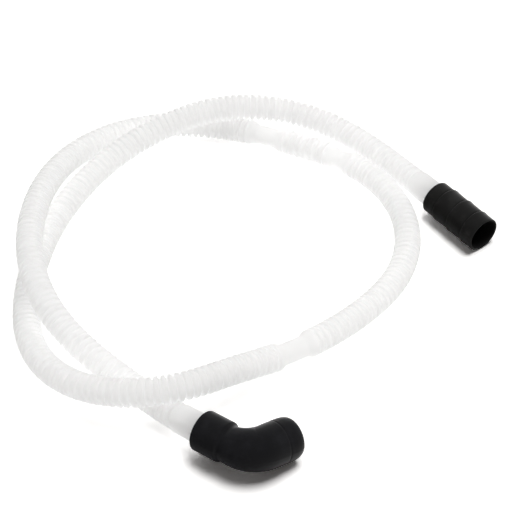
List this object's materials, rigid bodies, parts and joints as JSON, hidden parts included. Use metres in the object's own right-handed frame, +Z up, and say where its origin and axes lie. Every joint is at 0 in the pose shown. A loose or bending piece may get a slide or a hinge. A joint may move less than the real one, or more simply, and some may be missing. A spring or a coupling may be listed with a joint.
{
  "type": "dishwasher drain hose",
  "caption": "Corrugated white drain hose lying in loose loops, with a black rubber elbow on one end and a straight rubber cuff on the other.",
  "frame": {"origin": "on the floor, under the middle of the box around the elbow and the cuff", "axes": "+Z up from the floor; the hose lies level, with the elbow towards -Y, the cuff towards +Y and +X, and the loops towards -X"},
  "size_m": [0.3924, 0.398, 0.047],
  "materials": {
    "hose": "satin",
    "elbow": "matte",
    "cuff": "matte"
  },
  "bodies": {
    "root": {"drain_hose": "hose", "elbow_connector": "elbow", "straight_cuff": "cuff"}
  },
  "joints": []
}
